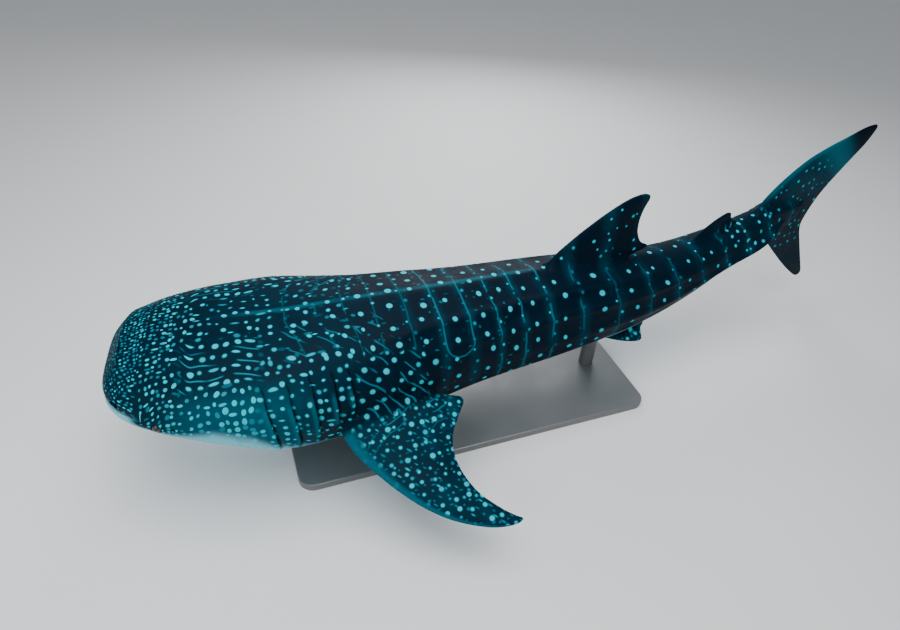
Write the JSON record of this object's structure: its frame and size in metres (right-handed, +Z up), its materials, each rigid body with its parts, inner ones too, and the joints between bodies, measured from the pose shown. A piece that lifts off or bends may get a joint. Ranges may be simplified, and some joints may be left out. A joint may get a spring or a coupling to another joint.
{
  "type": "whale shark model on display stand",
  "caption": "Life-size still model of a young whale shark, swimming level with its tail curving to its right, held over a flat base by rods under the belly.",
  "frame": {"origin": "centre of the stand base's underside, on the floor", "axes": "+Z up, -X towards the snout, -Y towards the shark's left flank"},
  "size_m": [5.8222, 2.605, 1.6967],
  "materials": {
    "skin": "satin painted skin, blue-black with pale spots and bars",
    "eye": "glossy",
    "stand": "satin dark grey paint"
  },
  "bodies": {
    "root": {"head": "skin", "gill_region": "skin", "trunk_front": "skin", "trunk_rear": "skin", "tail_stalk": "skin", "caudal_fin_upper": "skin", "caudal_fin_lower": "skin", "first_dorsal_fin": "skin", "second_dorsal_fin": "skin", "anal_fin": "skin", "pectoral_fin_left": "skin", "pectoral_fin_right": "skin", "pelvic_fin_left": "skin", "pelvic_fin_right": "skin", "eye_left": "eye", "eye_right": "eye", "stand_base": "stand", "stand_rod_front": "stand", "stand_rod_rear": "stand"}
  },
  "joints": []
}
